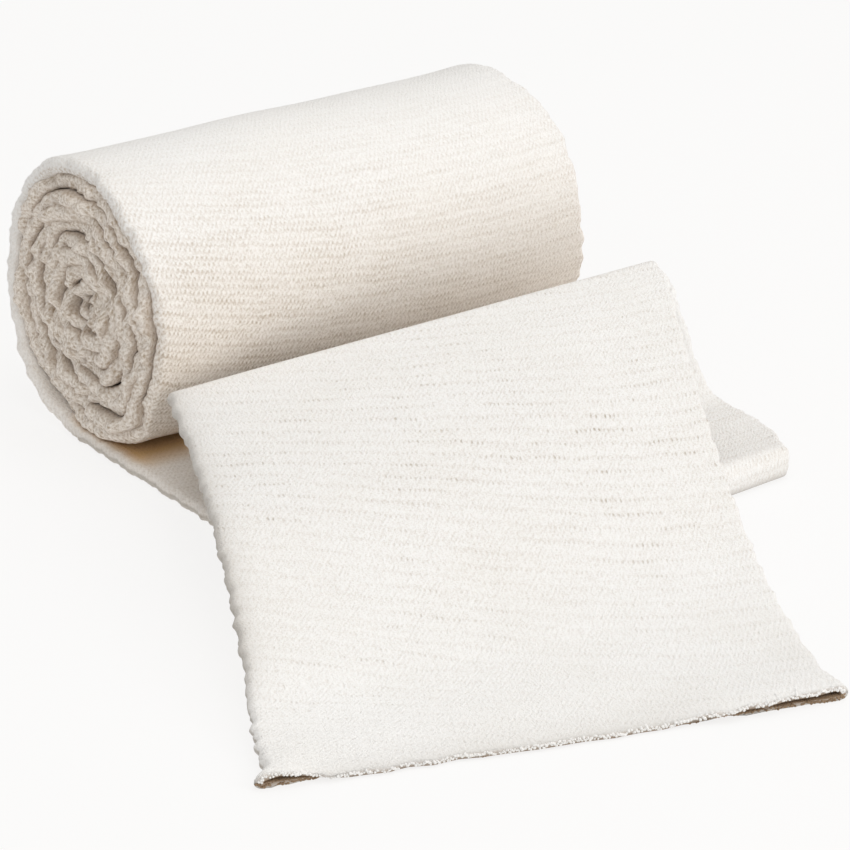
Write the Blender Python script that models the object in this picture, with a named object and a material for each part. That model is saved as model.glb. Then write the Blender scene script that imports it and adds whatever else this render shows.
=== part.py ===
"""Tubular bandage: one long knitted tube, pressed flat, wound into a roll, its free end folded in front."""

import math
from collections import namedtuple

import bpy
from mathutils import Vector

# Sizes in metres. The roll's axis is along X and the free end lies towards -Y. The sections are laid out
# with the roll resting over the origin, and the finished tube is then centred over it.
BAND_WIDTH = 0.120       # the tube pressed flat, from one selvedge to the other
WALL = 0.0014            # one knitted wall
SLIT = 0.0004            # space left between the two walls where the tube is pressed flat
LAYER_GAP = 0.0003       # space between one layer of the band and the next
ROLL_RADIUS = 0.0352     # from the roll's axis to the floor
CORE_RADIUS = 0.0022     # from the roll's axis to the middle of the first turn
FRONT_REACH = 0.158      # from the front of the roll to the far corner of the cut end
FOLD_HEIGHT = 0.0335     # how high the free end's upper fold stands at its right end
MOUTH_OPENING = 0.0030   # between the walls at the corners of the cut end
MOUTH_DEPTH = 0.014      # how far in from the cut end the walls start to part
SCALLOP = 0.0009         # how far each scallop of the selvedge is drawn in
TURN_WANDER = 0.0016     # how far the turns of the roll stray to either side
SECTION_STEP = 0.0045    # between two sections of the free end, which is half of one scallop

SECTIONS_A_TURN = 18     # sections in each turn of the roll
WIDEST_TURN_STEP = math.radians(32)   # the most that the band turns between two sections of a bend
ROUNDING = 0.6           # inset of a selvedge's shoulders, in half thicknesses
PRESSED = 0.3            # how far the mouth stays open in its middle, as a share of its corners

THICKNESS = 2 * WALL + SLIT
PITCH = THICKNESS + LAYER_GAP

# The roll's selvedges, a row for each part of a turn, counted back round the roll from the floor.
# left and right  band widths from the middle of the roll
Edge = namedtuple("Edge", "turn left right")
ROLL_EDGES = (
    Edge(0.00, 0.520, 0.540),
    Edge(0.12, 0.530, 0.525),
    Edge(0.25, 0.512, 0.515),
    Edge(0.45, 0.498, 0.495),
    Edge(0.75, 0.495, 0.515),
    Edge(1.00, 0.500, 0.515),
    Edge(1.50, 0.490, 0.500),
    Edge(4.00, 0.505, 0.505),
    Edge(9.00, 0.495, 0.495),
)

# Ruffles of the turns along their selvedges: waves in each turn, and how far each turn's waves are shifted.
RUFFLE_WAVES = 5
RUFFLE_SHIFT = 2.1
WANDER_SHIFT = 1.7

# The free end, a row for each place where it bends between the roll and the cut end.
# layer    how many layers of the band it lies on
# across   band widths from the middle of the roll
# forward  shares of FRONT_REACH from the front of the roll
# height   shares of FOLD_HEIGHT over that layer
# bend     how far before and after the row the band turns, in pitches of one layer
# bow      how far the middle of the band runs ahead of its selvedges, in band widths
Bend = namedtuple(
    "Bend",
    "layer left_across left_forward left_height right_across right_forward right_height bend bow",
)
FREE_END = (
    Bend(0, -0.505, 0.100, 0.00, 0.570, 0.100, 0.00, 2.0, 0.000),   # on the floor, out from under the roll
    Bend(0, -0.515, 0.390, 0.00, 0.560, 0.390, 0.00, 2.0, 0.000),   # on the floor, where it starts to narrow
    Bend(0, -0.500, 0.470, 0.00, 0.505, 0.470, 0.00, 0.5, 0.000),   # lower fold, on the floor
    Bend(1, -0.500, 0.470, 0.00, 0.505, 0.470, 0.00, 0.5, 0.000),   # lower fold, one layer up
    Bend(1, -0.520, 0.390, 0.00, 0.560, 0.390, 0.00, 2.0, 0.000),   # back over the floor layer
    Bend(1, -0.520, 0.162, 0.00, 0.565, 0.240, 0.00, 2.4, 0.000),   # where the band starts to rise
    Bend(0, -0.485, -0.012, 0.66, 0.514, 0.172, 1.10, 1.0, 0.000),   # upper fold, its left end against the roll
    Bend(0, -0.598, 0.205, 0.63, 0.410, 0.315, 0.78, 3.8, 0.000),   # the flap, going down
    Bend(0, -0.700, 0.384, 0.57, 0.292, 0.494, 0.43, 3.8, 0.000),   # the flap, half way down
    Bend(0, -0.804, 0.560, 0.33, 0.178, 0.677, 0.12, 3.8, 0.000),   # the flap, near the floor
    Bend(0, -0.877, 0.672, 0.07, 0.086, 0.840, 0.00, 3.8, 0.004),   # the flap, on the floor
    Bend(0, -0.914, 0.745, 0.00, 0.010, 0.990, 0.00, 0.0, 0.010),   # the cut end
)

# Where the walls' corners lie between the selvedges, in shares of the width.
QUARTERS = (0.25, 0.5, 0.75)

Section = namedtuple("Section", "left right out_left out_right bow opening")


def clear_scene():
    for old in list(bpy.data.objects):
        bpy.data.objects.remove(old, do_unlink=True)


def eased(share):
    """A share from 0 to 1 that starts and ends gently."""
    share = min(max(share, 0.0), 1.0)
    return share * share * (3 - 2 * share)


def edge_share(turn, column):
    """A column of the roll's table at a place between two of its rows."""
    for above, below in zip(ROLL_EDGES, ROLL_EDGES[1:]):
        if turn <= below.turn:
            share = eased((turn - above.turn) / (below.turn - above.turn))
            return getattr(above, column) * (1 - share) + getattr(below, column) * share
    return getattr(ROLL_EDGES[-1], column)


def turn_edge(turn, side):
    """How far along the axis a turn's selvedge lies. The side is -1 for the left and 1 for the right."""
    ruffle = math.sin(2 * math.pi * RUFFLE_WAVES * turn + RUFFLE_SHIFT * turn)
    stray = math.sin(WANDER_SHIFT * turn * (2 + side))
    wander = TURN_WANDER * eased(turn) * (side * ruffle + stray) / 2
    return side * edge_share(turn, "left" if side < 0 else "right") * BAND_WIDTH + wander


def roll_sections():
    """Sections of the roll from its core out to the floor. The angle runs back round the turns from the floor."""
    outer = ROLL_RADIUS - THICKNESS / 2
    turns = (outer - CORE_RADIUS) / PITCH
    count = round(turns * SECTIONS_A_TURN)
    sections = []
    for step in range(count, 0, -1):
        turn = step / SECTIONS_A_TURN
        angle = 2 * math.pi * turn
        radius = outer - PITCH * turn
        out = Vector((0, math.sin(angle), -math.cos(angle)))
        centre = Vector((0, 0, ROLL_RADIUS)) + out * radius
        left = centre + Vector((turn_edge(turn, -1), 0, 0))
        right = centre + Vector((turn_edge(turn, 1), 0, 0))
        sections.append(Section(left, right, out, out, 0.0, SLIT))
    return sections


def bend_points(side):
    """The corners of one selvedge of the free end, from the roll's lowest point to the cut end."""
    floor = THICKNESS / 2
    points = [Vector((turn_edge(0.0, -1 if side == "left" else 1), 0, floor))]
    for row in FREE_END:
        across = getattr(row, side + "_across") * BAND_WIDTH
        forward = getattr(row, side + "_forward") * FRONT_REACH
        height = getattr(row, side + "_height") * FOLD_HEIGHT
        points.append(Vector((across, -ROLL_RADIUS - forward, floor + row.layer * PITCH + height)))
    return points


def rounded_corner(before, corner, after, reach):
    """Start, corner, end and turning angle of the curve that rounds a corner, starting that far before it."""
    inward = corner - before
    outward = after - corner
    reach = min(reach, inward.length / 2, outward.length / 2)
    start = corner - inward.normalized() * reach
    end = corner + outward.normalized() * reach
    return start, corner, end, inward.angle(outward)


def curve_point(curve, share):
    start, corner, end, _ = curve
    return start.lerp(corner, share).lerp(corner.lerp(end, share), share)


def straight_pairs(starts, ends, first_row, last_row):
    """Pairs of points along a straight run, without its end. A run too short to matter gives none."""
    length = sum((end - start).length for start, end in zip(starts, ends)) / 2
    if length < LAYER_GAP:
        return []
    steps = max(1, round(length / SECTION_STEP))
    pairs = []
    for step in range(steps):
        share = step / steps
        left = starts[0].lerp(ends[0], share)
        right = starts[1].lerp(ends[1], share)
        pairs.append((left, right, first_row + share * (last_row - first_row)))
    return pairs


def free_edges():
    """Pairs of selvedge points of the free end, each with its place between the rows of the table."""
    lefts = bend_points("left")
    rights = bend_points("right")
    pairs = []
    last = (lefts[0], rights[0])
    for index, row in enumerate(FREE_END[:-1], start=1):
        curves = [
            rounded_corner(side[index - 1], side[index], side[index + 1], row.bend * PITCH)
            for side in (lefts, rights)
        ]
        starts = [curve[0] for curve in curves]
        pairs += straight_pairs(last, starts, index - 1, index)
        length = sum((curve[2] - curve[0]).length for curve in curves) / 2
        angle = max(curve[3] for curve in curves)
        steps = max(math.ceil(angle / WIDEST_TURN_STEP), round(length / SECTION_STEP))
        for step in range(steps):
            share = step / steps
            pairs.append((curve_point(curves[0], share), curve_point(curves[1], share), float(index)))
        last = (curves[0][2], curves[1][2])
    rows = len(FREE_END)
    pairs += straight_pairs(last, (lefts[-1], rights[-1]), rows - 1, rows)
    pairs.append((lefts[-1], rights[-1], float(rows)))
    return pairs


def between_rows(place):
    """The bow at a place between two rows of the table, the first of them being 1."""
    low = min(max(int(place) - 1, 0), len(FREE_END) - 2)
    share = min(max(place - 1 - low, 0.0), 1.0)
    return FREE_END[low].bow * (1 - share) + FREE_END[low + 1].bow * share


def direction(points, index):
    """The way a line of points runs at one of them, halfway between its two neighbouring runs."""
    ahead = points[min(index + 1, len(points) - 1)] - points[index]
    behind = points[index] - points[max(index - 1, 0)]
    return (ahead.normalized() + behind.normalized()).normalized()


def free_sections():
    """Sections of the free end from the roll's lowest point to the cut end."""
    pairs = free_edges()
    lefts = [pair[0] for pair in pairs]
    rights = [pair[1] for pair in pairs]
    to_cut = 0.0
    sections = []
    for index in range(len(pairs) - 1, -1, -1):
        if index < len(pairs) - 1:
            to_cut += (lefts[index + 1] - lefts[index]).length
        parting = eased(1 - to_cut / MOUTH_DEPTH)
        opening = SLIT + (MOUTH_OPENING - SLIT) * parting
        drawn_in = SCALLOP if index % 2 else 0.0
        across = (rights[index] - lefts[index]).normalized()
        out_left = across.cross(direction(lefts, index)).normalized()
        out_right = across.cross(direction(rights, index)).normalized()
        left = lefts[index] + across * drawn_in
        right = rights[index] - across * drawn_in
        bow = between_rows(pairs[index][2]) * BAND_WIDTH
        sections.append(Section(left, right, out_left, out_right, bow, opening))
    return sections[::-1]


def ring(section, inset, half, ahead):
    """One loop of a section: out along the wall that is outermost on the roll and back along the other."""
    width = (section.right - section.left).length
    end = inset / width
    knee = end + ROUNDING * half / width
    shares = (end, knee) + QUARTERS + (1 - knee, 1 - end)
    outer_wall = [(share, half) for share in shares[1:-1]]
    inner_wall = [(share, -half - lift(section, share)) for share in shares[-2:0:-1]]
    loop = []
    for share, reach in [(end, 0.0)] + outer_wall + [(1 - end, 0.0)] + inner_wall:
        middle = section.left.lerp(section.right, share)
        out = section.out_left.lerp(section.out_right, share).normalized()
        bulge = 1 - (2 * share - 1) ** 4
        loop.append(middle + out * reach + ahead * (section.bow * bulge))
    return loop


def lift(section, share):
    """How far the walls stand apart beyond the slit. They are pressed together in the middle."""
    return (section.opening - SLIT) * (PRESSED + (1 - PRESSED) * (2 * share - 1) ** 2)


def tube_mesh(sections):
    """The hollow tube: an outer skin, an inner skin and a rim at either end."""
    verts = []
    for index, section in enumerate(sections):
        following = sections[min(index + 1, len(sections) - 1)]
        leading = sections[max(index - 1, 0)]
        middle = (following.left + following.right) - (leading.left + leading.right)
        ahead = middle.normalized()
        verts += ring(section, 0.0, SLIT / 2 + WALL, ahead)
        verts += ring(section, WALL, SLIT / 2, ahead)
    loop = 2 * (len(QUARTERS) + 3)
    faces = []
    for index in range(len(sections) - 1):
        base = index * 2 * loop
        following = base + 2 * loop
        for corner in range(loop):
            other = (corner + 1) % loop
            faces.append((base + corner, base + other, following + other, following + corner))
            faces.append(
                (following + loop + corner, following + loop + other, base + loop + other, base + loop + corner)
            )
    last = (len(sections) - 1) * 2 * loop
    for corner in range(loop):
        other = (corner + 1) % loop
        faces.append((loop + corner, loop + other, other, corner))
        faces.append((last + corner, last + other, last + loop + other, last + loop + corner))
    mesh = bpy.data.meshes.new("knitted_tube")
    mesh.from_pydata(centred(verts), [], faces)
    mesh.update()
    return mesh


def centred(verts):
    """The points moved so that their box stands on the floor with the middle of its base at the origin."""
    lowest = [min(vert[axis] for vert in verts) for axis in range(3)]
    highest = [max(vert[axis] for vert in verts) for axis in range(3)]
    base = Vector(((lowest[0] + highest[0]) / 2, (lowest[1] + highest[1]) / 2, lowest[2]))
    return [vert - base for vert in verts]


def knit_material():
    material = bpy.data.materials.new("cream_cotton_knit")
    material.use_nodes = True
    shader = material.node_tree.nodes["Principled BSDF"]
    shader.inputs["Base Color"].default_value = (0.87, 0.84, 0.79, 1.0)
    shader.inputs["Roughness"].default_value = 0.95
    shader.inputs["Metallic"].default_value = 0.0
    return material


def add_knitted_tube():
    tube = bpy.data.objects.new("knitted_tube", tube_mesh(roll_sections() + free_sections()))
    tube.data.materials.append(knit_material())
    bpy.context.scene.collection.objects.link(tube)


clear_scene()
add_knitted_tube()
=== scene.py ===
"""Looks of the tubular bandage: the knitted tube in full, its yarn, and the floor, light and camera."""

import math
from collections import namedtuple

import bpy
import numpy as np
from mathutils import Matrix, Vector

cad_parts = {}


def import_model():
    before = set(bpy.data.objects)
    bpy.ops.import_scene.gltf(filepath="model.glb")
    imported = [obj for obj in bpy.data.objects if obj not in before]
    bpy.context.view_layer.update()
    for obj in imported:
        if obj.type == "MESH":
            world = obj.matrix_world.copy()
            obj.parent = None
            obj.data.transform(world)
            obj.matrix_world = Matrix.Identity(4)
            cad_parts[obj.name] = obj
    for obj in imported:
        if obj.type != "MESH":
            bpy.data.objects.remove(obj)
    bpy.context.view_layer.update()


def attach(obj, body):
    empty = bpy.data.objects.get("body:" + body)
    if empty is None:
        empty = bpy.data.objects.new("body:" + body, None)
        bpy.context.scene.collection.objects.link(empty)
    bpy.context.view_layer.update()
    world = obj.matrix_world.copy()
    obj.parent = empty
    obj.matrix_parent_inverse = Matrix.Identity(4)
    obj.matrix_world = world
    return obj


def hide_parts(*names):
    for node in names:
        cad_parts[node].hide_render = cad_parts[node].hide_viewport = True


# Sizes in metres, the same as those of the solid that this tube stands for.
BAND_WIDTH = 0.120       # the tube pressed flat, from one selvedge to the other
WALL = 0.0014            # one knitted wall
SLIT = 0.0004            # space left between the two walls where the tube is pressed flat
LAYER_GAP = 0.0003       # space between one layer of the band and the next
ROLL_RADIUS = 0.0352     # from the roll's axis to the floor
CORE_RADIUS = 0.0022     # from the roll's axis to the middle of the first turn
FRONT_REACH = 0.158      # from the front of the roll to the far corner of the cut end
FOLD_HEIGHT = 0.0335     # how high the free end's upper fold stands at its right end
MOUTH_DEPTH = 0.014      # how far in from the cut end the walls start to part
ROLL_PLACE = Vector((0.02071, 0.07886, 0.0))   # where the middle of the roll meets the floor

THICKNESS = 2 * WALL + SLIT
PITCH = THICKNESS + LAYER_GAP

# The knit. A wale is a column of loops along the band, and a row of them runs across it at a slant.
WALES = 108              # in the width of one wall
TWIST = 0.02             # how far the wales wind round the tube for each metre of its length
OUTER_SLANT = 0.30       # slant of the rows at the left selvedge of the wall that shows on the roll
OUTER_LEVELLING = 0.185  # how much of that slant is lost on the way to the right selvedge
INNER_SLANT = 0.42       # slant at the left selvedge of the wall that shows on the flap

# How the knit changes along the band.
# to_cut  distance from the cut end
# row     from one row of loops to the next
# pulled  1 where the loops are pulled long and narrow
# open  how dark the gaps between the loops are; on the roll's lower front this also paints its shade
# warm  painted shade that makes the cream warmer where light bounces between the layers: the roll's lower
# front and inner turns, and the layer on the floor next to the roll
Pull = namedtuple("Pull", "to_cut row pulled open warm")
PULLS = (
    Pull(-0.060, 0.00113, 0.3, 0.24, 0.00),
    Pull(0.012, 0.00115, 0.3, 0.24, 0.00),
    Pull(0.030, 0.00145, 0.5, 0.34, 0.00),
    Pull(0.054, 0.00190, 0.8, 0.46, 0.05),
    Pull(0.080, 0.00230, 1.0, 0.48, 0.05),
    Pull(0.105, 0.00225, 0.9, 0.42, 0.00),
    Pull(0.125, 0.00220, 0.5, 0.38, 0.00),
    Pull(0.150, 0.00180, 0.4, 0.40, 0.00),
    Pull(0.190, 0.00160, 0.3, 0.80, 0.05),
    Pull(0.240, 0.00160, 0.2, 0.80, 0.05),
    Pull(0.260, 0.00160, 0.2, 0.80, 0.50),
    Pull(0.320, 0.00160, 0.1, 0.80, 0.50),
    Pull(0.400, 0.00160, 0.0, 0.14, 0.00),
    Pull(0.430, 0.00160, 0.0, 0.26, 0.00),
    Pull(0.455, 0.00160, 0.0, 0.90, 0.12),
    Pull(0.485, 0.00160, 0.0, 1.60, 0.80),
    Pull(0.530, 0.00160, 0.0, 1.45, 0.80),
    Pull(1.450, 0.00160, 0.0, 1.45, 0.80),
)

# Relief that is modelled. The rest of the knit is in the material.
SCALLOP_LENGTH = 0.009
SCALLOP_STRAY = 1.8      # how far the scallops stray from even, in radians
SCALLOP_STRAY_LENGTH = 0.03
SCALLOP = 0.0005         # how far each scallop of the selvedge is drawn in
SCALLOP_FADE = 0.004     # how far in from the selvedge the scallops fade out
KNOB = 0.00020           # height of the loops that stand out on a selvedge
KNOB_LENGTH = 0.0034
RIDGE = 0.00008          # height of the rows where they wrap round a selvedge
RIDGE_FADE = 0.005       # how far in from the selvedge the modelled rows fade out
SWELL = 0.00035          # slow rise and fall of the cloth
SWELL_LENGTH = 0.045
FREE_SWELL = 0.3         # how much of it is left on the free end

# How the ends of the roll are crumpled, a row for each length of crumple.
# length   from one crumple to the next
# aside    how far the turns are pushed out of round
# endways  how far they are pushed along the roll
Crumple = namedtuple("Crumple", "length aside endways seed")
CRUMPLES = (
    Crumple(0.0140, 0.00028, 0.0006, 11),
    Crumple(0.0062, 0.00012, 0.0004, 31),
    Crumple(0.0032, 0.00004, 0.0003, 51),
)
CRUMPLE_DEPTH = 0.010    # how far in from the roll's ends it is crumpled
CRUMPLE_HEIGHTS = (0.002, 0.008)   # from which height the turns may be pushed up and down, and fully
OTHER_END = 0.2          # offset that gives the right end other crumples than the left
INNER_TURNS = (0.5, 1.5)       # how far back round the roll the full crumpling sets in, and is full
OUTER_CRUMPLE = 0.35     # how much of the crumpling reaches the outermost turn
SAG = 0.0032             # how far the roll's lower front hangs out of round
SAG_FROM = math.radians(6)     # where that starts and ends, up from the roll's lowest line
SAG_TO = math.radians(60)
SAG_TURNS = (0.5, 0.7)   # how far back round the roll the sag sets in, and is full

# The cut end.
MOUTH_OPENING = 0.0015   # how much further than the slit its walls part near its corners
OVERHANG = 0.0016        # how far the upper wall reaches past the lower one
THINNED = 0.0006         # how much thinner the lower wall is pressed
DROOP = 0.0009           # how far the upper wall sinks with it
LIP_DROOP = 0.00045      # how much lower the upper wall's last stretch hangs
LIP_DEPTH = 0.0025       # how long that stretch is
FLARE = 0.0020           # how far its corners stand out to the sides
FLARE_DEPTH = 0.007
FLARE_REACH = 0.006      # how far in from a selvedge the flare starts
LIP_FADE = 0.002         # how far in from the cut the fray and the overhang fade
FRAY = 0.0004            # how ragged it is
FRAY_FADE = 0.003        # how far in from a selvedge the fray is full

# Waves of the fray: length as a share of the cut's width, and weight.
Fray = namedtuple("Fray", "length weight seed")
FRAYS = (
    Fray(0.070, 1.0, 21),
    Fray(0.025, 0.7, 22),
)

# The roll's turns and the upper fold.
PLUMP = 0.00030          # how much each turn swells at its selvedges
PLUMP_DEPTH = 0.006
CORNER = 0.0022          # how far the right corner of the upper fold is rounded off
CORNER_LENGTH = 0.0035
CORNER_DEPTH = 0.008

# How dark the gaps of the knit are at a selvedge, as a share of the table's figure.
FLAP_LEFT_GAPS = 0.80
FLAP_LEFT_REACH = 5 / 9  # how far across the flap that lasts
# On the wall that shows on the roll the share runs straight across: painted shade at the left, painted
# light at the right against the flap fold's shadow.
ROLL_LEFT_GAPS = 1.15
ROLL_RIGHT_GAPS = 0.62

# The knit at the roll's ends, where its darker gaps are partly painted shade.
END_DEPTH = 0.003        # how far in from a selvedge it is darker
END_TURNS = (0.2, 8 / 15)      # how far back round the roll that sets in, and is full
END_GAPS = 1.9           # how dark the gaps are there, partly painted shade
# How much painted shade the roll's ends get.
END_SHADE = 0.08
OUTERMOST = (1.0, 1.5)   # up to which turn a wall counts as the outermost one
OUTERMOST_SPARED = 0.8   # how much of the darkness that one is spared

# Shade that the light alone doesn't give.
BETWEEN_TURNS = 0.40     # how dark the painted shade is on the walls where they face each other in the roll
FACING_TURNS = (0.6, 1.6)      # how far back round the roll that sets in, and is full
FACING_REACH = (0.55, 1.0)     # the same round a selvedge, from its edge to its flat wall
LEFT_HALF = (1 / 3, 2 / 3)     # where the painted brown shade of the wedge under the roll ends, in shares of the width
CREASE_SHADE = (0.019, 0.030)  # how far ahead of the roll's lowest line the painted brown shade of the wedge under the roll fades, from and to
BACK_CREASE_SHADE = (0.002, 0.009)   # the same behind that line
BELLY = (0.006, 0.018)   # the same on the roll's own underside
CREASE_SHADE_EDGE = 0.004      # how far in from the selvedge the painted brown shade starts
NEAR_FLOOR = 0.0018      # height over which the shade near the floor fades
UNDERSIDE = 0.0012       # how far in from the left selvedge the shade below it fades
RAISED = (0.004, 0.014)  # from which height that shade widens, and up to which
RAISED_EDGE = 0.85       # how much of it reaches over the selvedge there

# The mouth, a row for each place across the cut end, from its left corner to its right one.
# lift   how far the walls part there, as a share of MOUTH_OPENING
# press  1 where they are pressed together and the upper one hangs over
Mouth = namedtuple("Mouth", "across lift press")
MOUTH = (
    Mouth(0.00, 0.20, 0.0),
    Mouth(0.02, 0.70, 0.0),
    Mouth(0.05, 0.60, 0.2),
    Mouth(0.08, 0.15, 0.7),
    Mouth(0.11, 0.00, 1.0),
    Mouth(0.70, 0.00, 1.0),
    Mouth(0.79, 0.75, 0.9),
    Mouth(0.88, 1.00, 0.8),
    Mouth(0.96, 0.90, 0.5),
    Mouth(1.00, 0.30, 0.0),
)

# Ends of yarn along the cut.
YARNS_A_WALE = 4
YARN_RADIUS = 0.00030
YARN_BURIED = 0.0016     # how far back into the wall each one starts
YARN_OUT = 0.0003        # how far it reaches past the wall
YARN_SIDES = 6
YARN_CAP = ((0, 1, 2, 3), (0, 3, 4, 5))   # two faces that close a ring of that many sides
YARN_PLACES = (0.1, 0.9)     # where each one may lie in its share of a wale
YARN_HEIGHTS = (-0.32, 0.32)   # where it may lie in the wall, in wall thicknesses from its middle
YARN_STRAY = 0.10        # how far it points away from straight ahead
YARN_LENGTHS = (0.0, 1.5)      # shares of YARN_OUT
YARN_GIRTHS = (0.7, 1.2)       # shares of YARN_RADIUS

# The shape of one end of yarn.
# along  where each ring lies, -1 where the yarn starts and 1 at its tip
# girth  how fat the yarn is there
Ring = namedtuple("Ring", "along girth")
YARN_RINGS = (
    Ring(-1.0, 0.50),
    Ring(-0.4, 1.00),
    Ring(0.1, 1.05),
    Ring(0.7, 0.85),
    Ring(1.0, 0.40),
)

STATION_STEP = 0.00080   # from one section of the tube to the next
LINING_STEP = 4          # the inside of the tube has one section in this many
RUFFLE_WAVES = 5         # how often the roll's selvedges go in and out in a turn
RUFFLE_SHIFT = 2.1       # how far those waves move on from one turn to the next, in radians
WANDER_SHIFT = 1.7       # the same for the slow straying of the turns
TURN_WANDER = 0.0016     # how far the turns of the roll stray to either side
WIDEST_TURN_STEP = math.radians(9)
ROW_MARKS = 3000         # places at which the rows are counted along the band

# Smooth noise is a sum of sines.
WAVE_COUNT = 14
WAVE_PACES = (0.6, 1.4)  # how their paces spread round the middle one
SCALLOP_SEED = 3
SWELL_SEED = 5
KNOB_SEED = 7
YARN_SEED = 17

# The roll's selvedges, a row for each part of a turn, counted back round the roll from the floor.
# left and right  band widths from the middle of the roll
Edge = namedtuple("Edge", "turn left right")
ROLL_EDGES = (
    Edge(0.00, 0.520, 0.540),
    Edge(0.12, 0.530, 0.525),
    Edge(0.25, 0.512, 0.515),
    Edge(0.45, 0.498, 0.495),
    Edge(0.75, 0.495, 0.518),
    Edge(0.87, 0.500, 0.536),
    Edge(1.00, 0.512, 0.528),
    Edge(1.20, 0.516, 0.512),
    Edge(1.50, 0.492, 0.500),
    Edge(2.00, 0.510, 0.502),
    Edge(2.50, 0.496, 0.502),
    Edge(4.00, 0.505, 0.505),
    Edge(9.00, 0.495, 0.495),
)

# The free end, a row for each place where it bends between the roll and the cut end.
# layer    how many layers of the band it lies on
# across   band widths from the middle of the roll
# forward  shares of FRONT_REACH from the front of the roll
# height   shares of FOLD_HEIGHT over that layer
# bend     how far before and after the row the band turns, in pitches of one layer
# bow      how far the middle of the band runs ahead of its selvedges, in band widths
Bend = namedtuple(
    "Bend",
    "layer left_across left_forward left_height right_across right_forward right_height bend bow",
)
FREE_END = (
    Bend(0, -0.505, 0.100, 0.00, 0.570, 0.100, 0.00, 2.0, 0.000),
    Bend(0, -0.515, 0.390, 0.00, 0.560, 0.390, 0.00, 2.0, 0.000),
    Bend(0, -0.500, 0.470, 0.00, 0.505, 0.470, 0.00, 0.5, 0.000),
    Bend(1, -0.500, 0.470, 0.04, 0.505, 0.470, 0.04, 0.8, 0.000),
    Bend(1, -0.520, 0.390, 0.00, 0.560, 0.390, 0.00, 2.0, 0.000),
    Bend(1, -0.520, 0.162, 0.00, 0.565, 0.240, 0.00, 2.4, 0.000),
    Bend(0, -0.485, -0.012, 0.66, 0.514, 0.172, 1.10, 1.0, 0.000),
    Bend(0, -0.598, 0.205, 0.63, 0.410, 0.315, 0.78, 3.8, 0.000),
    Bend(0, -0.700, 0.384, 0.57, 0.292, 0.494, 0.43, 3.8, 0.000),
    Bend(0, -0.804, 0.560, 0.33, 0.178, 0.677, 0.12, 3.8, 0.000),
    Bend(0, -0.877, 0.672, 0.07, 0.086, 0.840, 0.00, 3.8, 0.004),
    Bend(0, -0.914, 0.745, 0.00, 0.010, 0.990, 0.00, 0.0, 0.010),
)

# Where the points of a section lie: the angles round a selvedge, then millimetres in from it.
SELVEDGE_ANGLES = (0, 20, 40, 60, 78)
TURN_POINTS_MM = (1.9, 2.8, 4.0, 6.0, 9.0, 14.0, 24.0, 40.0)
FREE_POINTS_MM = (1.9, 2.8, 4.0, 5.6, 7.5, 10, 13, 16.5, 20, 24, 28, 33, 38, 43, 48, 54)

Section = namedtuple("Section", "left right out_left out_right bow on_roll")

# The regular part of the knit in the material is a sum of waves.
# wales and rows         how many times each wave repeats in one of them
# phase                  in degrees
# relaxed and stretched  its weight in each state of the knit
Wave = namedtuple("Wave", "wales rows phase relaxed stretched")
KNIT_WAVES = (
    Wave(1, 1.0, 45, 0.31, 0.24),
    Wave(1, -1.0, -45, 0.17, 0.19),
    Wave(0, 1.0, -45, 0.20, 0.14),
    Wave(1, 0.0, 0, 0.20, 0.17),
    Wave(0, 0.5, 0, 0.10, 0.22),
)

# How the wales and the rows stray. The reach is in wales or in rows.
Stray = namedtuple("Stray", "scale detail reach")
WALE_STRAY = Stray(0.45, 1.0, 0.9)
ROW_STRAY = Stray(0.16, 2.0, 1.1)

# The irregular part of the knit.
STROKE_PACE = (2.0, 0.6)       # strokes of yarn, across and along one slant of the loops
STROKE = 1.2
FUZZ_SCALE = 2800.0
FUZZ = 1.9
STREAK_SCALE = (0.07, 0.5, 1.0)
STREAK_RANGE = (0.40, 0.66)
PATCH_SCALE = 0.035
PATCH_RANGE = (0.33, 0.56)
CHANCE_RANGE = (-0.1, 1.0)
LUCK_IN_STREAKS = 0.7          # how much of a slit's chance depends on its streak
SLIT_SHAPE = (0.5, 1.5)        # how much of each loop a slit takes
SLIT_ROW_SHARE = 0.7           # how much the row counts in that, against 1 for the wale
EVERY_SECOND_ROW = (-0.5, 0.7)

# How much each part counts in the relief and in the darkness of the gaps.
GAP_RELIEF = 0.26
ROUGH_RELIEF = 0.6
BUMP_STRENGTH = 0.7
BUMP_DISTANCE = 0.0003
GAP_CONTRAST = 0.29
GAP_MEAN = 0.2
STREAK_CONTRAST = 0.5
SLIT_DARKNESS = 1.05
ROUGH_BASE = 0.1
ROUGH_IF_OPEN = 0.45
ROUGH_IF_PULLED = 0.2

# Colours of the yarn and of its gaps, then tints of painted shade. A tint comes in as strongly as the look
# of that name says.
YARN_DULL = (0.895, 0.878, 0.850, 1)
YARN_CLEAR = (0.910, 0.897, 0.876, 1)
YARN_TONE_SCALE = 40.0
YARN_TONE_RANGE = (0.3, 0.7)
GAP_COLOUR = (0.48, 0.38, 0.28, 1)
Tint = namedtuple("Tint", "look strength colour")
# Painted shade that makes the cream warmer where light bounces between the layers.
WARM_SHADE = Tint("warm", 0.80, (0.97, 0.875, 0.775, 1))
# Painted shade: grey-brown near the floor, along the free end's left selvedge and at the roll's ends;
# brown in the wedge under the roll; dark brown inside the tube and between the roll's turns.
SHADES = (
    Tint("shade", 0.75, (0.42, 0.38, 0.33, 1)),
    Tint("crease_shade", 0.95, (0.66, 0.41, 0.17, 1)),
    Tint("inside", 0.95, (0.27, 0.17, 0.09, 1)),
)

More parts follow.
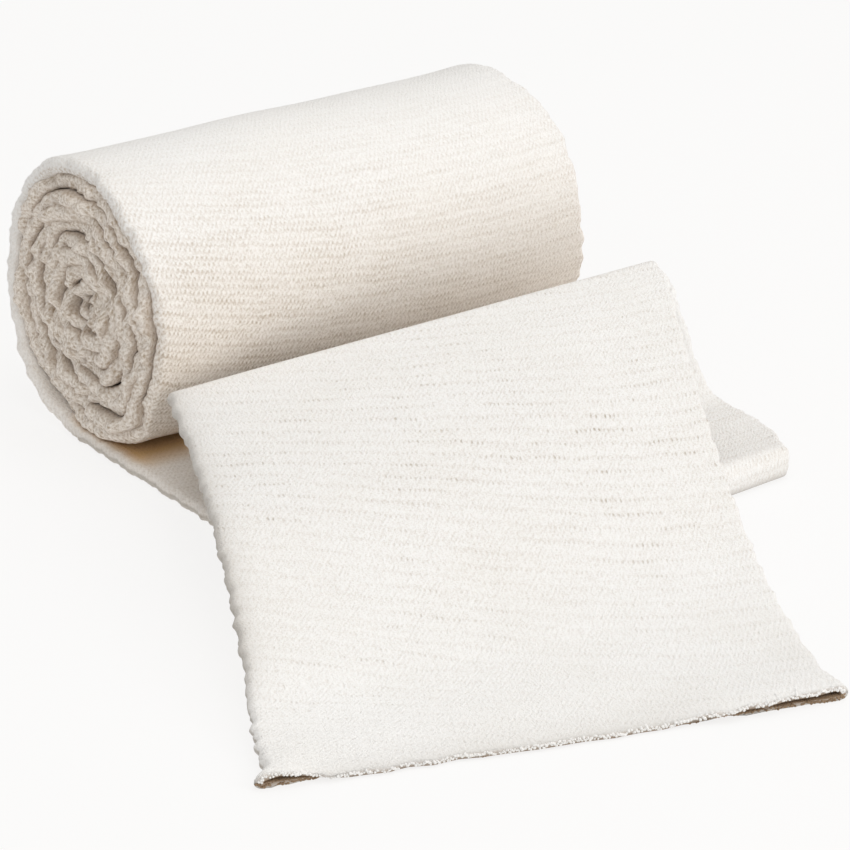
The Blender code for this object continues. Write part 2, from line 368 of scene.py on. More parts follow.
# The studio. Places are in metres.
FLOOR_HALF = 3.0
FLOOR_GREY = 0.16
FLOOR_GLOW = 0.81
Light = namedtuple("Light", "name place size power")
LIGHTS = (
    Light("key", (0.05, -0.30, 1.35), 0.9, 4.6),
    Light("fill", (0.70, -1.60, 1.05), 1.2, 10.5),
)
SKY_DIRECTION = (0.12, -0.38, 0.92)   # where the light from all round is strongest
SKY_RANGE = (-0.6, 1.0)
SKY_STRENGTHS = (0.26, 0.77)
CAMERA_PLACE = (-0.34566, -0.48386, 0.30116)
CAMERA_DOWN = 25.0198    # degrees below level
CAMERA_BEARING = 35.6376       # degrees from +Y towards +X
CAMERA_LENS = 126.93


def eased(share):
    """A share from 0 to 1 that starts and ends gently."""
    share = np.clip(share, 0.0, 1.0)
    return share * share * (3 - 2 * share)


def risen(distance, ends):
    """A share that rises from 0 to 1 between two distances."""
    return eased((distance - ends[0]) / (ends[1] - ends[0]))


def faded(distance, ends):
    """A share that falls from 1 to 0 between two distances."""
    return 1 - risen(distance, ends)


def off_floor(turn):
    """A share that rises from 0 where the roll meets the floor to 1 a quarter of a turn on."""
    return eased(turn * 4)


def column(table, name):
    return [getattr(row, name) for row in table]


def edge_share(turn, side):
    """A column of the roll's table at a place between two of its rows."""
    for above, below in zip(ROLL_EDGES, ROLL_EDGES[1:]):
        if turn <= below.turn:
            share = eased((turn - above.turn) / (below.turn - above.turn))
            return getattr(above, side) * (1 - share) + getattr(below, side) * share
    return getattr(ROLL_EDGES[-1], side)


def turn_edge(turn, side):
    """How far along the axis a turn's selvedge lies. The side is -1 for the left and 1 for the right."""
    ruffle = math.sin(2 * math.pi * RUFFLE_WAVES * turn + RUFFLE_SHIFT * turn)
    stray = math.sin(WANDER_SHIFT * turn * (2 + side))
    wander = TURN_WANDER * eased(turn) * (side * ruffle + stray) / 2
    return side * edge_share(turn, "left" if side < 0 else "right") * BAND_WIDTH + wander


def roll_sections():
    """Sections of the roll from its core out to the floor."""
    outer = ROLL_RADIUS - THICKNESS / 2
    turn = (outer - CORE_RADIUS) / PITCH
    sections = []
    while turn > 0:
        angle = 2 * math.pi * turn
        radius = outer - PITCH * turn
        out = Vector((0, math.sin(angle), -math.cos(angle)))
        centre = Vector((0, 0, ROLL_RADIUS)) + out * radius
        left = centre + Vector((turn_edge(turn, -1), 0, 0))
        right = centre + Vector((turn_edge(turn, 1), 0, 0))
        sections.append(Section(left, right, out, out, 0.0, turn))
        turn -= STATION_STEP / (2 * math.pi * radius)
    return sections


def bend_points(side):
    """The corners of one selvedge of the free end, from the roll's lowest point to the cut end."""
    floor = THICKNESS / 2
    points = [Vector((turn_edge(0.0, -1 if side == "left" else 1), 0, floor))]
    for row in FREE_END:
        across = getattr(row, side + "_across") * BAND_WIDTH
        forward = getattr(row, side + "_forward") * FRONT_REACH
        height = getattr(row, side + "_height") * FOLD_HEIGHT
        points.append(Vector((across, -ROLL_RADIUS - forward, floor + row.layer * PITCH + height)))
    return points


def rounded_corner(before, corner, after, reach):
    """Start, corner, end and turning angle of the curve that rounds a corner from that far before it."""
    inward = corner - before
    outward = after - corner
    reach = min(reach, inward.length / 2, outward.length / 2)
    start = corner - inward.normalized() * reach
    end = corner + outward.normalized() * reach
    return start, corner, end, inward.angle(outward)


def curve_point(curve, share):
    start, corner, end, _ = curve
    return start.lerp(corner, share).lerp(corner.lerp(end, share), share)


def straight_pairs(starts, ends, first_row, last_row):
    """Pairs of points along a straight run, without its end. A run too short to matter gives none."""
    length = sum((end - start).length for start, end in zip(starts, ends)) / 2
    steps = round(length / STATION_STEP)
    pairs = []
    for step in range(steps):
        share = step / steps
        left = starts[0].lerp(ends[0], share)
        right = starts[1].lerp(ends[1], share)
        pairs.append((left, right, first_row + share * (last_row - first_row)))
    return pairs


def free_edges():
    """Pairs of selvedge points of the free end, each with its place between the rows of the table."""
    lefts = bend_points("left")
    rights = bend_points("right")
    pairs = []
    last = (lefts[0], rights[0])
    for index, row in enumerate(FREE_END[:-1], start=1):
        curves = [
            rounded_corner(side[index - 1], side[index], side[index + 1], row.bend * PITCH)
            for side in (lefts, rights)
        ]
        starts = [curve[0] for curve in curves]
        pairs += straight_pairs(last, starts, index - 1, index)
        length = sum((curve[2] - curve[0]).length for curve in curves) / 2
        angle = max(curve[3] for curve in curves)
        steps = max(math.ceil(angle / WIDEST_TURN_STEP), round(length / STATION_STEP))
        for step in range(steps):
            share = step / steps
            pairs.append((curve_point(curves[0], share), curve_point(curves[1], share), float(index)))
        last = (curves[0][2], curves[1][2])
    rows = len(FREE_END)
    pairs += straight_pairs(last, (lefts[-1], rights[-1]), rows - 1, rows)
    pairs.append((lefts[-1], rights[-1], float(rows)))
    return pairs


def direction(points, index):
    """The way a line of points runs at one of them, halfway between its two neighbouring runs."""
    ahead = points[min(index + 1, len(points) - 1)] - points[index]
    behind = points[index] - points[max(index - 1, 0)]
    return (ahead.normalized() + behind.normalized()).normalized()


def free_sections():
    """Sections of the free end from the roll's lowest point to the cut end."""
    pairs = free_edges()
    lefts = [pair[0] for pair in pairs]
    rights = [pair[1] for pair in pairs]
    rows = range(1, len(FREE_END) + 1)
    sections = []
    for index, (left, right, place) in enumerate(pairs):
        across = (right - left).normalized()
        out_left = across.cross(direction(lefts, index)).normalized()
        out_right = across.cross(direction(rights, index)).normalized()
        bow = float(np.interp(place, rows, column(FREE_END, "bow"))) * BAND_WIDTH
        sections.append(Section(left, right, out_left, out_right, bow, 0.0))
    return sections


def waves(first, second, length, seed):
    """Smooth noise from about -1 to 1 over two coordinates, with swells about that length apart."""
    rng = np.random.default_rng(seed)
    total = np.zeros(np.broadcast(first, second).shape)
    for _ in range(WAVE_COUNT):
        heading = rng.uniform(0, 2 * math.pi)
        pace = 2 * math.pi / length * rng.uniform(*WAVE_PACES)
        phase = rng.uniform(0, 2 * math.pi)
        total += np.sin(pace * (math.cos(heading) * first + math.sin(heading) * second) + phase)
    return total / math.sqrt(WAVE_COUNT)


def along_band(name, distance):
    """A column of the table of pulls at places that far from the cut end."""
    return np.interp(distance, column(PULLS, "to_cut"), column(PULLS, name))


def rows_along(distance):
    """How many rows of the knit lie between the table's start and places that far from the cut end."""
    marks = np.linspace(PULLS[0].to_cut, PULLS[-1].to_cut, ROW_MARKS)
    pitch = along_band("row", marks)
    counted = np.concatenate([[0.0], np.cumsum(np.diff(marks) / ((pitch[1:] + pitch[:-1]) / 2))])
    return np.interp(distance, marks, counted)


def knit_place(share, on_outer, to_cut):
    """Wale and row numbers at shares of a wall's width from the left selvedge."""
    outer_row = to_cut - BAND_WIDTH * (OUTER_SLANT * share - OUTER_LEVELLING * share ** 2)
    inner_row = to_cut + BAND_WIDTH * INNER_SLANT * (share - share ** 4 / 4)
    row = rows_along(np.where(on_outer, outer_row, inner_row))
    wale = WALES * (np.where(on_outer, share, 2 - share) + TWIST * to_cut / BAND_WIDTH)
    return wale, row


class Band:
    """All sections as arrays, from the core to the cut end, with how far each lies from the cut."""

    def __init__(self, sections):
        self.left = np.array(column(sections, "left"))
        self.right = np.array(column(sections, "right"))
        self.out_left = np.array(column(sections, "out_left"))
        self.out_right = np.array(column(sections, "out_right"))
        self.bow = np.array(column(sections, "bow"))
        self.turn = np.array(column(sections, "on_roll"))
        middle = (self.left + self.right) / 2
        steps = np.linalg.norm(np.diff(middle, axis=0), axis=1)
        self.to_cut = np.concatenate([np.cumsum(steps[::-1])[::-1], [0.0]])
        ahead = np.gradient(middle, axis=0)
        self.ahead = ahead / np.linalg.norm(ahead, axis=1)[:, None]
        height = np.where(self.turn > 0, 0.0, self.right[:, 2])
        self.past_fold = self.to_cut - self.to_cut[np.argmax(height)]
        self.past_lowest = self.to_cut - self.to_cut[np.flatnonzero(self.turn > 0)[-1]]

    def part(self, chosen):
        """The same band with only the chosen sections."""
        piece = object.__new__(Band)
        for name, values in self.__dict__.items():
            setattr(piece, name, values[chosen])
        return piece


class Loop:
    """The points round one section of a skin, as arrays."""

    def __init__(self, points_mm, inset):
        knee = THICKNESS / 2 - inset
        rows = []
        for degrees in SELVEDGE_ANGLES:
            angle = math.radians(degrees)
            rows.append((knee * (1 - math.cos(angle)), knee * angle, math.sin(angle), -math.cos(angle)))
        rest = knee * (math.pi / 2 - 1)
        rows += [(mm / 1000 - inset, mm / 1000 - inset + rest, 1.0, 0.0) for mm in points_mm]
        loop = [(1, 1, *row) for row in rows]
        loop += [(0, 1, *row) for row in rows[::-1]]
        loop += [(0, -1, *row) for row in rows[1:]]
        loop += [(1, -1, *row) for row in rows[:0:-1]]
        left, side, inward, along, reach, face_in = np.array(loop).T[:, None, :]
        self.from_left = left > 0
        self.side = side
        self.inset = inset
        self.inward = inward + inset
        self.reach = reach
        self.face_in = face_in
        from_left = along / (BAND_WIDTH - 2 * inset + 2 * rest)
        self.share = np.where(self.from_left, from_left, 1 - from_left)


def selvedge_relief(band, loop, to_cut, row):
    """How far the points near a selvedge are drawn in by its scallops, and stand out by its loops."""
    edge = np.where(loop.from_left, 0.0, 1.0)
    from_fold = band.past_fold[:, None] / CORNER_LENGTH
    corner = CORNER * np.exp(-from_fold ** 2 - loop.inward / CORNER_DEPTH) * edge
    stray = SCALLOP_STRAY * waves(to_cut, edge, SCALLOP_STRAY_LENGTH, SCALLOP_SEED)
    beat = 2 * math.pi * to_cut / SCALLOP_LENGTH + stray + edge
    fade = np.exp(-loop.inward / SCALLOP_FADE)
    drawn_in = SCALLOP * (0.5 + 0.5 * np.cos(beat)) * fade + corner
    drawn_in += KNOB * waves(to_cut, edge, KNOB_LENGTH, KNOB_SEED) * fade
    ridge = RIDGE * np.cos(2 * math.pi * row) * np.exp(-loop.inward / RIDGE_FADE)
    return drawn_in, ridge if loop.inset == 0 else 0 * ridge


def crumple(points, loop, turn):
    """Pushes the turns out of round near the roll's ends, less where they meet the floor."""
    near = np.exp(-(loop.inward / CRUMPLE_DEPTH) ** 2) * off_floor(turn)
    near = near * (OUTER_CRUMPLE + (1 - OUTER_CRUMPLE) * risen(turn, INNER_TURNS))
    upward = risen(points[..., 2], CRUMPLE_HEIGHTS)
    y = points[..., 1].copy()
    z = points[..., 2].copy()
    end = np.where(loop.from_left, 0.0, OTHER_END)
    for row in CRUMPLES:
        points[..., 0] += near * row.endways * waves(y + end, z, row.length, row.seed)
        points[..., 1] += near * row.aside * waves(y + end, z, row.length, row.seed + 1)
        points[..., 2] += near * row.aside * waves(y + end, z, row.length, row.seed + 2) * upward


def sag(points, turn):
    """Pushes the lower front of the turns outward, as a soft roll's own weight does."""
    y = points[..., 1]
    z = points[..., 2] - ROLL_RADIUS
    share = (np.arctan2(-y, -z) - SAG_FROM) / (SAG_TO - SAG_FROM)
    bulge = np.sin(math.pi * np.clip(share, 0, 1)) ** 2
    hang = SAG / ROLL_RADIUS * bulge * risen(turn, SAG_TURNS)
    points[..., 1] = y * (1 + hang)
    points[..., 2] = z * (1 + hang) + ROLL_RADIUS


def mouth_shift(loop, to_cut):
    """How far the cut end's points move out of the band, ahead and to the right."""
    near = eased(1 - to_cut / MOUTH_DEPTH)
    lip = eased(1 - to_cut / LIP_DEPTH)
    lift = MOUTH_OPENING * np.interp(loop.share, column(MOUTH, "across"), column(MOUTH, "lift"))
    press = np.interp(loop.share, column(MOUTH, "across"), column(MOUTH, "press"))
    upper = (loop.side < 0) * loop.reach
    lower = (loop.side > 0) * loop.reach
    out = upper * (press * (DROOP * near + LIP_DROOP * lip) - lift * near)
    if loop.inset > 0:
        out = out + lower * press * THINNED * near
    ragged = FRAY * sum(row.weight * waves(loop.share, loop.side, row.length, row.seed) for row in FRAYS)
    ahead = ragged * np.minimum(loop.inward / FRAY_FADE, 1) - lower * press * OVERHANG
    ahead = ahead * np.exp(-to_cut / LIP_FADE)
    outward = FLARE * eased(1 - to_cut / FLARE_DEPTH) ** 2 * np.exp(-loop.inward / FLARE_REACH)
    return out, ahead, np.where(loop.from_left, -outward, outward)


def skin(band, points_mm, inset):
    """One skin of the tube: its points, their places on the knit, and its loop."""
    loop = Loop(points_mm, inset)
    width = np.linalg.norm(band.right - band.left, axis=1)
    to_cut = band.to_cut[:, None]
    turn = band.turn[:, None]
    wale, row = knit_place(loop.share, loop.side > 0, to_cut)
    drawn_in, ridge = selvedge_relief(band, loop, to_cut, row)
    out_shift, ahead_shift, right_shift = mouth_shift(loop, to_cut)

    distance = loop.inward + drawn_in + loop.face_in * ridge
    share = np.where(loop.from_left, distance, width[:, None] - distance) / width[:, None]
    share = (share + right_shift / width[:, None])[..., None]
    base = band.left[:, None, :] * (1 - share) + band.right[:, None, :] * share
    out = band.out_left[:, None, :] * (1 - share) + band.out_right[:, None, :] * share
    out /= np.linalg.norm(out, axis=2)[..., None]
    plump = PLUMP * np.exp(-(loop.inward / PLUMP_DEPTH) ** 2) * off_floor(turn)
    out_reach = loop.side * loop.reach * (THICKNESS / 2 - inset + ridge + plump) + out_shift
    ahead_shift = ahead_shift + band.bow[:, None] * (1 - (2 * share[..., 0] - 1) ** 4)
    points = base + out * out_reach[..., None] + band.ahead[:, None, :] * ahead_shift[..., None]

    swell = SWELL * waves(points[..., 0], to_cut, SWELL_LENGTH, SWELL_SEED)
    swell = swell * (FREE_SWELL + (1 - FREE_SWELL) * off_floor(turn))
    points += out * swell[..., None]
    crumple(points, loop, turn)
    sag(points, turn)
    points[..., 2] = np.maximum(points[..., 2], 0.0)
    return points, wale, row, loop


def grid_faces(rows, columns, offset, flipped):
    """Quads between neighbouring sections of a skin whose loops are closed."""
    row, place = np.meshgrid(np.arange(rows - 1) * columns, np.arange(columns), indexing="ij")
    other = (place + 1) % columns
    corners = [row + place, row + other, row + columns + other, row + columns + place]
    faces = np.stack(corners, axis=-1).reshape(-1, 4) + offset
    return faces[:, ::-1] if flipped else faces


def rim_faces(first, second, columns, flipped):
    """Quads between the loop of one skin and that of the other, where the tube ends."""
    place = np.arange(columns)
    other = (place + 1) % columns
    faces = np.stack([first + place, first + other, second + other, second + place], axis=-1)
    return faces[:, ::-1] if flipped else faces


def new_mesh(name, verts, faces, knit, looks):
    """A smooth mesh with its place on the knit at every corner and its looks at every point."""
    mesh = bpy.data.meshes.new(name)
    mesh.from_pydata((verts + np.array(ROLL_PLACE)).tolist(), [], faces.tolist())
    mesh.polygons.foreach_set("use_smooth", [True] * len(mesh.polygons))
    corners = np.empty(len(mesh.loops), np.int32)
    mesh.loops.foreach_get("vertex_index", corners)
    places = knit[corners].reshape(-1, 4, 2)
    behind = places[..., 0].max(axis=1, keepdims=True) - places[..., 0] > WALES
    places[..., 0] += 2 * WALES * behind
    mesh.uv_layers.new(name="knit").data.foreach_set("uv", places.astype(np.float32).ravel())
    for look, values in looks.items():
        layer = mesh.attributes.new(look, "FLOAT", "POINT")
        layer.data.foreach_set("value", values.astype(np.float32).ravel())
    mesh.update()
    piece = bpy.data.objects.new(name, mesh)
    bpy.context.scene.collection.objects.link(piece)
    return piece


def skin_looks(band, loop, points):
    """What the material needs to know of each point of a skin."""
    to_cut = band.to_cut[:, None] + 0 * loop.share
    turn = band.turn[:, None]
    height = points[..., 2]

    outermost = (loop.side > 0) * faded(turn, OUTERMOST)
    at_end = np.exp(-loop.inward / END_DEPTH) * risen(turn, END_TURNS) * (1 - OUTERMOST_SPARED * outermost)
    flap_gaps = FLAP_LEFT_GAPS + (1 - FLAP_LEFT_GAPS) * eased(loop.share / FLAP_LEFT_REACH)
    # Across the wall that shows on the roll: painted shade at its left, painted light at its right.
    roll_gaps = ROLL_LEFT_GAPS + (ROLL_RIGHT_GAPS - ROLL_LEFT_GAPS) * loop.share
    gaps = along_band("open", to_cut) * np.where(loop.side < 0, flap_gaps, roll_gaps)

    # Painted brown shade in the wedge where the roll sits on the layer under it, and on the roll's own
    # underside.
    past_lowest = band.past_lowest[:, None]
    ahead = faded(-past_lowest, CREASE_SHADE) * faded(past_lowest, BACK_CREASE_SHADE)
    belly = faded(np.abs(1 - turn) * 2 * math.pi * ROLL_RADIUS, BELLY)
    crease_shade = np.where(loop.side > 0, belly, ahead) * eased(loop.inward / CREASE_SHADE_EDGE)
    between_turns = risen(turn, FACING_TURNS) * risen(loop.reach, FACING_REACH) * BETWEEN_TURNS

    near_floor = np.exp(-(height / NEAR_FLOOR) ** 2) * (loop.inset == 0)
    raised = risen(height, RAISED)
    below = np.where(loop.side > 0, 1.0, RAISED_EDGE * raised)
    below_edge = below * np.exp(-loop.inward / (UNDERSIDE * (1 + raised))) * loop.from_left * (turn == 0)
    return {
        "pulled": along_band("pulled", to_cut),
        # At the roll's ends the gaps are darker, partly painted shade.
        "open": gaps + (END_GAPS - gaps) * at_end,
        # Painted shade that makes the cream warmer where light bounces between the layers.
        "warm": along_band("warm", to_cut),
        # Painted dark brown shade over the whole lining, and where the roll's turns face each other.
        "inside": np.maximum(between_turns, 0.0 if loop.inset == 0 else 1.0),
        "crease_shade": crease_shade * faded(loop.share, LEFT_HALF),
        "shade": np.maximum(np.maximum(near_floor, below_edge), END_SHADE * at_end),
    }


def add_tube(name, band, points_mm):
    """One stretch of the tube: an outer skin, a lining with fewer sections, and a rim at either end."""
    count = len(band.turn)
    places = np.arange(count)
    wanted = (places % LINING_STEP == 0) | (band.to_cut < MOUTH_DEPTH) | (places == count - 1)
    chosen = np.flatnonzero(wanted)
    lined = band.part(chosen)
    outer, outer_wale, outer_row, loop = skin(band, points_mm, 0.0)
    lining, lining_wale, lining_row, lining_loop = skin(lined, points_mm, WALL)
    columns = outer_wale.shape[1]
    inside = count * columns
    last_inside = inside + (len(chosen) - 1) * columns
    faces = np.concatenate([
        grid_faces(count, columns, 0, False),
        grid_faces(len(chosen), columns, inside, True),
        rim_faces(0, inside, columns, True),
        rim_faces(inside - columns, last_inside, columns, False),
    ])
    verts = np.concatenate([outer.reshape(-1, 3), lining.reshape(-1, 3)])
    wales = np.concatenate([outer_wale.ravel(), lining_wale.ravel()])
    rows = np.concatenate([outer_row.ravel(), lining_row.ravel()])
    seen, hidden = skin_looks(band, loop, outer), skin_looks(lined, lining_loop, lining)
    looks = {key: np.concatenate([seen[key].ravel(), hidden[key].ravel()]) for key in seen}
    return new_mesh(name, verts, faces, np.stack([wales, rows], axis=-1), looks)


def add_yarn_ends(name, band):
    """Short ends of yarn along both walls of the cut, as one joined mesh."""
    rng = np.random.default_rng(YARN_SEED)
    last = band.part(slice(-1, None))
    outer, wale, _, loop = skin(last, FREE_POINTS_MM, 0.0)
    lining = skin(last, FREE_POINTS_MM, WALL)[0]
    order = np.argsort(wale[0])
    count = 2 * WALES * YARNS_A_WALE
    numbers = wale[0].min() + (np.arange(count) + rng.uniform(*YARN_PLACES, count)) / YARNS_A_WALE

    def at_yarn(values):
        return np.stack([np.interp(numbers, wale[0][order], line[order]) for line in values.T], axis=-1)

    def unit(vectors):
        return vectors / np.linalg.norm(vectors, axis=1, keepdims=True)

    up = at_yarn(outer[0] - lining[0])
    centre = at_yarn((outer[0] + lining[0]) / 2) + up * rng.uniform(*YARN_HEIGHTS, (count, 1))
    ahead = unit(last.ahead[0] + rng.normal(0, YARN_STRAY, (count, 3)))
    side = unit(np.cross(up, ahead))
    up = np.cross(ahead, side)
    length = YARN_OUT * rng.uniform(*YARN_LENGTHS, (count, 1))
    radius = YARN_RADIUS * rng.uniform(*YARN_GIRTHS, (count, 1, 1))
    angles = (np.arange(YARN_SIDES) * 2 * math.pi / YARN_SIDES)[None, :, None]
    around = (side[:, None, :] * np.cos(angles) + up[:, None, :] * np.sin(angles)) * radius
    rings = []
    for row in YARN_RINGS:
        ring = centre + ahead * row.along * (length if row.along > 0 else YARN_BURIED)
        rings.append(ring[:, None, :] + around * row.girth)
    verts = np.stack(rings, axis=1)
    verts[..., 2] = np.maximum(verts[..., 2], 0.0)

    per_yarn = len(rings) * YARN_SIDES
    cap = np.array(YARN_CAP)
    one = np.concatenate([
        grid_faces(len(rings), YARN_SIDES, 0, True),
        cap,
        cap[:, ::-1] + per_yarn - YARN_SIDES,
    ])
    faces = np.concatenate([one + index * per_yarn for index in range(count)])
    number = np.repeat(numbers, per_yarn)
    lower = np.repeat(at_yarn((loop.side > 0).T * 1.0), per_yarn)
    # The lower wall's yarn ends, under the upper wall's overhang, get the painted dark brown shade of the
    # inside.
    looks = {"pulled": 0 * number, "open": 0 * number, "inside": lower}
    return new_mesh(name, verts.reshape(-1, 3), faces, np.stack([number, 0 * number], axis=-1), looks)


class Graph:
    """A material's nodes, with a short way to add one and join it up."""

    def __init__(self, tree):
        self.tree = tree

    def feed(self, socket, value):
        if isinstance(value, bpy.types.NodeSocket):
            self.tree.links.new(value, socket)
        else:
            socket.default_value = value

    def node(self, kind, output=0, inputs=(), **settings):
        """Adds a node and returns one of its outputs. Inputs go by name or number."""
        node = self.tree.nodes.new(kind)
        for key, value in settings.items():
            setattr(node, key, value)
        for key, value in dict(inputs).items():
            self.feed(node.inputs[key], value)
        return node.outputs[output]

    def math(self, operation, *values):
        return self.node("ShaderNodeMath", inputs=enumerate(values), operation=operation)

    def scaled(self, vector, *factors):
        inputs = {0: vector, 1: factors}
        return self.node("ShaderNodeVectorMath", inputs=inputs, operation="MULTIPLY")

    def noise(self, where, scale, detail=2.0):
        inputs = {"Vector": where, "Scale": scale, "Detail": detail}
        return self.node("ShaderNodeTexNoise", inputs=inputs)

    def between(self, value, low, high, to_low=0.0, to_high=1.0):
        """Maps a value smoothly from one range to another."""
        inputs = {"Value": value, "From Min": low, "From Max": high, "To Min": to_low, "To Max": to_high}
        return self.node("ShaderNodeMapRange", inputs=inputs, interpolation_type="SMOOTHSTEP")

    def mix(self, share, first, second):
        inputs = {0: share, 6: first, 7: second}
        return self.node("ShaderNodeMix", 2, inputs, data_type="RGBA")

    def look(self, name):
        return self.node("ShaderNodeAttribute", 2, attribute_name=name)


def knit_cells(g, place):
    """Wale and row numbers that stray a little, as the loops of real knit do."""
    split = g.tree.nodes.new("ShaderNodeSeparateXYZ")
    g.feed(split.inputs[0], place)
    numbers = []
    for output, row in zip(split.outputs, (WALE_STRAY, ROW_STRAY)):
        noise = g.noise(place, row.scale, row.detail)
        numbers.append(g.math("ADD", output, g.math("MULTIPLY_ADD", noise, row.reach, -row.reach / 2)))
    return numbers


def cosine(g, cycles, phase=0):
    """A wave over a number of cycles, with its phase in degrees."""
    return g.math("COSINE", g.math("MULTIPLY_ADD", cycles, 2 * math.pi, math.radians(phase)))


def knit_gaps(g, wale, row, pulled):
    """The regular part of the knit: 1 in the gaps between its loops and negative on the loops."""
    total = 0.0
    for wave in KNIT_WAVES:
        cycles = g.math("MULTIPLY_ADD", wale, wave.wales, g.math("MULTIPLY", row, wave.rows))
        weight = g.math("MULTIPLY_ADD", pulled, wave.stretched - wave.relaxed, wave.relaxed)
        total = g.math("MULTIPLY_ADD", cosine(g, cycles, wave.phase), weight, total)
    return total


def knit_slits(g, place, wale, row, streak):
    """Slits between some loops of every second row, in streaks and patches."""
    cell = g.node("ShaderNodeCombineXYZ", inputs={0: g.math("ROUND", wale), 1: g.math("ROUND", row)})
    chance = g.node("ShaderNodeTexWhiteNoise", inputs={"Vector": cell}, noise_dimensions="2D")
    luck = g.math("MULTIPLY_ADD", streak, LUCK_IN_STREAKS, 1 - LUCK_IN_STREAKS)
    luck = g.math("MULTIPLY", g.between(chance, *CHANCE_RANGE), luck)
    patch = g.between(g.noise(place, PATCH_SCALE, 2.0), *PATCH_RANGE)
    holes = g.math("MULTIPLY_ADD", cosine(g, row), SLIT_ROW_SHARE, cosine(g, wale))
    second_row = g.between(cosine(g, g.math("MULTIPLY", row, 0.5)), *EVERY_SECOND_ROW)
    holes = g.math("MULTIPLY", g.between(holes, *SLIT_SHAPE), second_row)
    return g.math("MULTIPLY", g.math("MULTIPLY", holes, luck), patch)


def knit_roughness(g, solid_place, wale, row):
    """Strokes of single yarns, and fuzz."""
    strokes = g.node("ShaderNodeCombineXYZ", inputs={
        0: g.math("MULTIPLY", g.math("ADD", wale, row), STROKE_PACE[0]),
        1: g.math("MULTIPLY", g.math("SUBTRACT", wale, row), STROKE_PACE[1]),
    })
    stroke = g.math("SUBTRACT", g.noise(strokes, 1.0, 2.0), 0.5)
    fuzz = g.math("SUBTRACT", g.noise(solid_place, FUZZ_SCALE, 3.0), 0.5)
    return g.math("MULTIPLY_ADD", stroke, STROKE, g.math("MULTIPLY", fuzz, FUZZ))


def yarn_colour(g, solid_place, dark):
    """The cream of the yarn, darker in the gaps, with the tints of painted shade that the looks ask for.
    """

    def tinted(tint, colour):
        return g.mix(g.math("MULTIPLY", g.look(tint.look), tint.strength), colour, tint.colour)

    tone = g.between(g.noise(solid_place, YARN_TONE_SCALE, 3.0), *YARN_TONE_RANGE)
    # The cream's own tone, under painted shade that makes it warmer.
    colour = tinted(WARM_SHADE, g.mix(tone, YARN_DULL, YARN_CLEAR))
    colour = g.mix(dark, colour, GAP_COLOUR)
    for tint in SHADES:
        colour = tinted(tint, colour)
    return colour


def knit_material():
    """Cream cotton: slanted strokes of yarn, dark gaps between some of them, and a light fuzz."""
    material = bpy.data.materials.new("cream_cotton_knit")
    material.use_nodes = True
    shader = material.node_tree.nodes["Principled BSDF"]
    g = Graph(material.node_tree)
    place = g.node("ShaderNodeUVMap", uv_map="knit")
    solid_place = g.node("ShaderNodeTexCoord", 3)
    pulled = g.look("pulled")
    gaps_and_shade_share = g.look("open")
    wale, row = knit_cells(g, place)
    streak = g.between(g.noise(g.scaled(place, *STREAK_SCALE), 1.0, 2.0), *STREAK_RANGE)
    gap = knit_gaps(g, wale, row, pulled)
    slit = g.math("MULTIPLY", knit_slits(g, place, wale, row, streak), pulled)
    rough = knit_roughness(g, solid_place, wale, row)

    texture = g.math("MULTIPLY_ADD", gap, GAP_RELIEF, g.math("MULTIPLY", rough, ROUGH_RELIEF))
    bump = g.node("ShaderNodeBump", inputs={
        "Height": g.math("MULTIPLY", g.math("ADD", texture, slit), -1.0),
        "Strength": BUMP_STRENGTH,
        "Distance": BUMP_DISTANCE,
    })
    regular = g.math("MULTIPLY_ADD", gap, GAP_CONTRAST, GAP_MEAN)
    uneven_streak = g.math("MULTIPLY_ADD", streak, STREAK_CONTRAST, 1 - STREAK_CONTRAST / 2)
    regular = g.math("MULTIPLY", regular, uneven_streak)
    # How dark the gaps are follows the look of gaps and shade, which on the roll also paints shade.
    regular = g.math("MULTIPLY", g.math("MULTIPLY_ADD", slit, SLIT_DARKNESS, regular), gaps_and_shade_share)
    rough_share = g.math("MULTIPLY_ADD", gaps_and_shade_share, ROUGH_IF_OPEN, ROUGH_BASE)
    rough_share = g.math("MULTIPLY_ADD", pulled, ROUGH_IF_PULLED, rough_share)
    uneven = g.math("MULTIPLY", rough, rough_share)
    dark = g.node("ShaderNodeMath", 0, {0: regular, 1: uneven}, operation="ADD", use_clamp=True)

    g.feed(shader.inputs["Base Color"], yarn_colour(g, solid_place, dark))
    g.feed(shader.inputs["Normal"], bump)
    shader.inputs["Roughness"].default_value = 0.95
    shader.inputs["Sheen Weight"].default_value = 0.15
    shader.inputs["Specular IOR Level"].default_value = 0.2
    return material


def floor_material():
    """A pale floor lit from within, so that shadows on it stay faint."""
    material = bpy.data.materials.new("pale_floor")
    material.use_nodes = True
    shader = material.node_tree.nodes["Principled BSDF"]
    shader.inputs["Base Color"].default_value = (FLOOR_GREY, FLOOR_GREY, FLOOR_GREY, 1)
    shader.inputs["Roughness"].default_value = 0.9
    shader.inputs["Specular IOR Level"].default_value = 0.0
    shader.inputs["Emission Color"].default_value = (1, 0.993, 0.985, 1)
    shader.inputs["Emission Strength"].default_value = FLOOR_GLOW
    return material


def add_floor():
    half = FLOOR_HALF
    corners = [(-half, -half, 0), (half, -half, 0), (half, half, 0), (-half, half, 0)]
    mesh = bpy.data.meshes.new("floor")
    mesh.from_pydata(corners, [], [(0, 1, 2, 3)])
    mesh.materials.append(floor_material())
    floor = bpy.data.objects.new("floor", mesh)
    bpy.context.scene.collection.objects.link(floor)


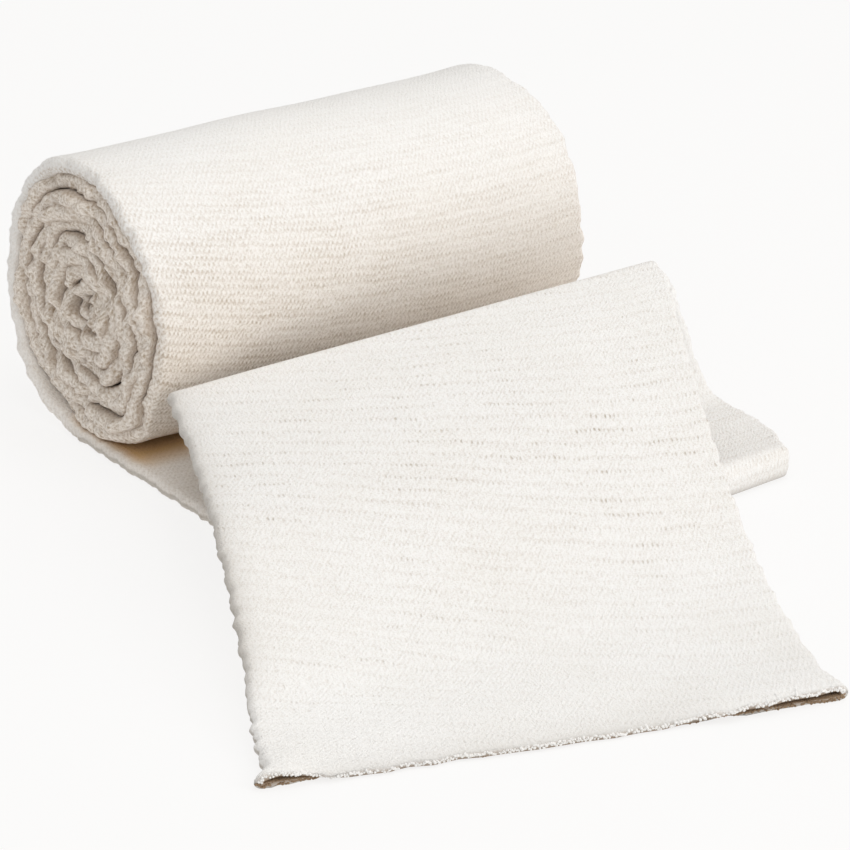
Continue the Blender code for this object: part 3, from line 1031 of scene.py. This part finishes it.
def add_area_light(row):
    """A soft square light that faces the bandage."""
    data = bpy.data.lights.new(row.name, "AREA")
    data.size = row.size
    data.energy = row.power
    light = bpy.data.objects.new(row.name, data)
    light.location = row.place
    light.rotation_euler = Vector(row.place).to_track_quat("Z", "Y").to_euler()
    bpy.context.scene.collection.objects.link(light)


def add_world():
    """Soft studio light from all round, stronger from above, from the right and from the front."""
    world = bpy.data.worlds.new("studio")
    world.use_nodes = True
    g = Graph(world.node_tree)
    background = world.node_tree.nodes["Background"]
    heading = g.node("ShaderNodeTexCoord", 0)
    facing = g.node("ShaderNodeVectorMath", 1, {0: heading, 1: SKY_DIRECTION}, operation="DOT_PRODUCT")
    g.feed(background.inputs["Strength"], g.between(facing, *SKY_RANGE, *SKY_STRENGTHS))
    background.inputs["Color"].default_value = (1.0, 0.995, 0.985, 1)
    bpy.context.scene.world = world


def add_camera():
    """The photograph's view: its angle above the floor, its bearing and its distance."""
    data = bpy.data.cameras.new("camera")
    data.lens = CAMERA_LENS
    data.sensor_width = 36
    data.clip_start = 0.01
    camera = bpy.data.objects.new("camera", data)
    camera.location = CAMERA_PLACE
    camera.rotation_euler = (math.radians(90 - CAMERA_DOWN), 0, math.radians(-CAMERA_BEARING))
    bpy.context.scene.collection.objects.link(camera)
    bpy.context.scene.camera = camera


def dress(piece, knit):
    """Everything that each piece of the bandage has in common."""
    piece.data.materials.append(knit)
    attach(piece, "root")
    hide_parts("knitted_tube")


def main():
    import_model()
    band = Band(roll_sections() + free_sections())
    knit = knit_material()
    inner = np.flatnonzero(band.turn >= 1.0)
    outer = np.arange(inner[-1], len(band.turn))
    yarn = add_yarn_ends("cut_yarn", band)
    dress(yarn, knit)
    for name, part, points_mm, fringe in (
        ("wound_turns", inner, TURN_POINTS_MM, []),
        ("free_end", outer, FREE_POINTS_MM, [yarn]),
    ):
        tube = add_tube(name, band.part(part), points_mm)
        dress(tube, knit)
    add_floor()
    add_world()
    for row in LIGHTS:
        add_area_light(row)
    add_camera()
    bpy.context.scene.view_settings.view_transform = "Standard"


main()
